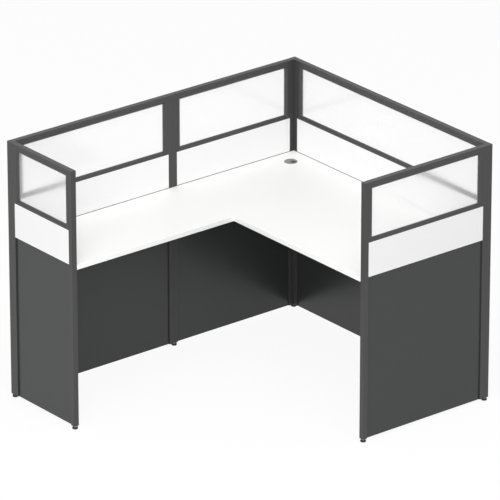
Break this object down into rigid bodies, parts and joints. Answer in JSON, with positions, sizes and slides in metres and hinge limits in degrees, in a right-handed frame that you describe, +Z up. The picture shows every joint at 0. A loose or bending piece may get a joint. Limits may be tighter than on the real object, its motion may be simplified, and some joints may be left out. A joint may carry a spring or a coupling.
{
  "type": "cubicle workstation",
  "caption": "L-shaped cubicle workstation: grey framed partitions with frosted windows, white cable covers and dark lower boards around an L-shaped white worktop.",
  "frame": {"origin": "middle of the bounding box on the floor, under the levelling feet", "axes": "+X to the right along the back wall as the seated user sees it, +Y towards the back wall, +Z up"},
  "size_m": [1.591, 1.334, 1.2],
  "materials": {
    "frame": "satin powder coat on aluminium extrusion",
    "frosted_glass": "acid-frosted",
    "cable_cover": "smooth matt extrusion",
    "lower_board": "melamine-faced chipboard, fine matt grain",
    "worktop_board": "melamine-faced chipboard, matt",
    "edge_band": "smooth matt band",
    "bracket_steel": "matt powder coat on steel sheet",
    "fastener_steel": "zinc plated",
    "grommet_plastic": "fine moulded texture",
    "foot_plastic": "moulded nylon"
  },
  "bodies": {
    "frame": {"left_wing_stiles": "frame", "left_wing_top_rail": "frame", "left_wing_belt_rails": "frame", "left_wing_window_frame": "frame", "left_wing_glass": "frosted_glass", "left_wing_cable_covers": "cable_cover", "left_wing_lower_board": "lower_board", "back_left_stiles": "frame", "back_left_top_rail": "frame", "back_left_belt_rails": "frame", "back_left_window_frame": "frame", "back_left_glass": "frosted_glass", "back_left_cable_covers": "cable_cover", "back_left_lower_board": "lower_board", "back_right_stiles": "frame", "back_right_top_rail": "frame", "back_right_belt_rails": "frame", "back_right_window_frame": "frame", "back_right_glass": "frosted_glass", "back_right_cable_covers": "cable_cover", "back_right_lower_board": "lower_board", "side_stiles": "frame", "side_top_rail": "frame", "side_belt_rails": "frame", "side_window_frame": "frame", "side_glass": "frosted_glass", "side_cable_covers": "cable_cover", "side_lower_board": "lower_board", "right_wing_stiles": "frame", "right_wing_top_rail": "frame", "right_wing_belt_rails": "frame", "right_wing_window_frame": "frame", "right_wing_glass": "frosted_glass", "right_wing_cable_covers": "cable_cover", "right_wing_lower_board": "lower_board", "back_left_post": "frame", "back_right_post": "frame", "front_right_post": "frame", "post_caps": "frame", "rail_end_caps": "frame", "frame_bolts": "fastener_steel", "foot_bushes": "foot_plastic", "worktop": "worktop_board", "worktop_edge_band": "edge_band", "grommet_liner": "grommet_plastic", "bracket_middle": "bracket_steel", "bracket_corner": "bracket_steel", "support_angle_left": "bracket_steel", "support_angle_right": "bracket_steel", "support_screws": "fastener_steel"},
    "foot_left_wing": {"foot_left_wing": "foot_plastic"},
    "foot_back_left": {"foot_back_left": "foot_plastic"},
    "foot_back_middle": {"foot_back_middle": "foot_plastic"},
    "foot_back_right": {"foot_back_right": "foot_plastic"},
    "foot_front_right": {"foot_front_right": "foot_plastic"},
    "foot_right_wing": {"foot_right_wing": "foot_plastic"},
    "grommet_cap": {"grommet_cap": "grommet_plastic"}
  },
  "joints": [
    {"name": "left_wing_foot_screw", "type": "slide", "parent": "frame", "child": "foot_left_wing", "axis": [0, 0, -1], "range_m": [0, 0.015]},
    {"name": "back_left_foot_screw", "type": "slide", "parent": "frame", "child": "foot_back_left", "axis": [0, 0, -1], "range_m": [0, 0.015]},
    {"name": "back_middle_foot_screw", "type": "slide", "parent": "frame", "child": "foot_back_middle", "axis": [0, 0, -1], "range_m": [0, 0.015]},
    {"name": "back_right_foot_screw", "type": "slide", "parent": "frame", "child": "foot_back_right", "axis": [0, 0, -1], "range_m": [0, 0.015]},
    {"name": "front_right_foot_screw", "type": "slide", "parent": "frame", "child": "foot_front_right", "axis": [0, 0, -1], "range_m": [0, 0.015]},
    {"name": "right_wing_foot_screw", "type": "slide", "parent": "frame", "child": "foot_right_wing", "axis": [0, 0, -1], "range_m": [0, 0.015]},
    {"name": "grommet_cap_turn", "type": "hinge", "parent": "frame", "child": "grommet_cap", "pos_m": [0.6765, 0.548, 0.7653], "axis": [0, 0, 1], "continuous": true}
  ]
}
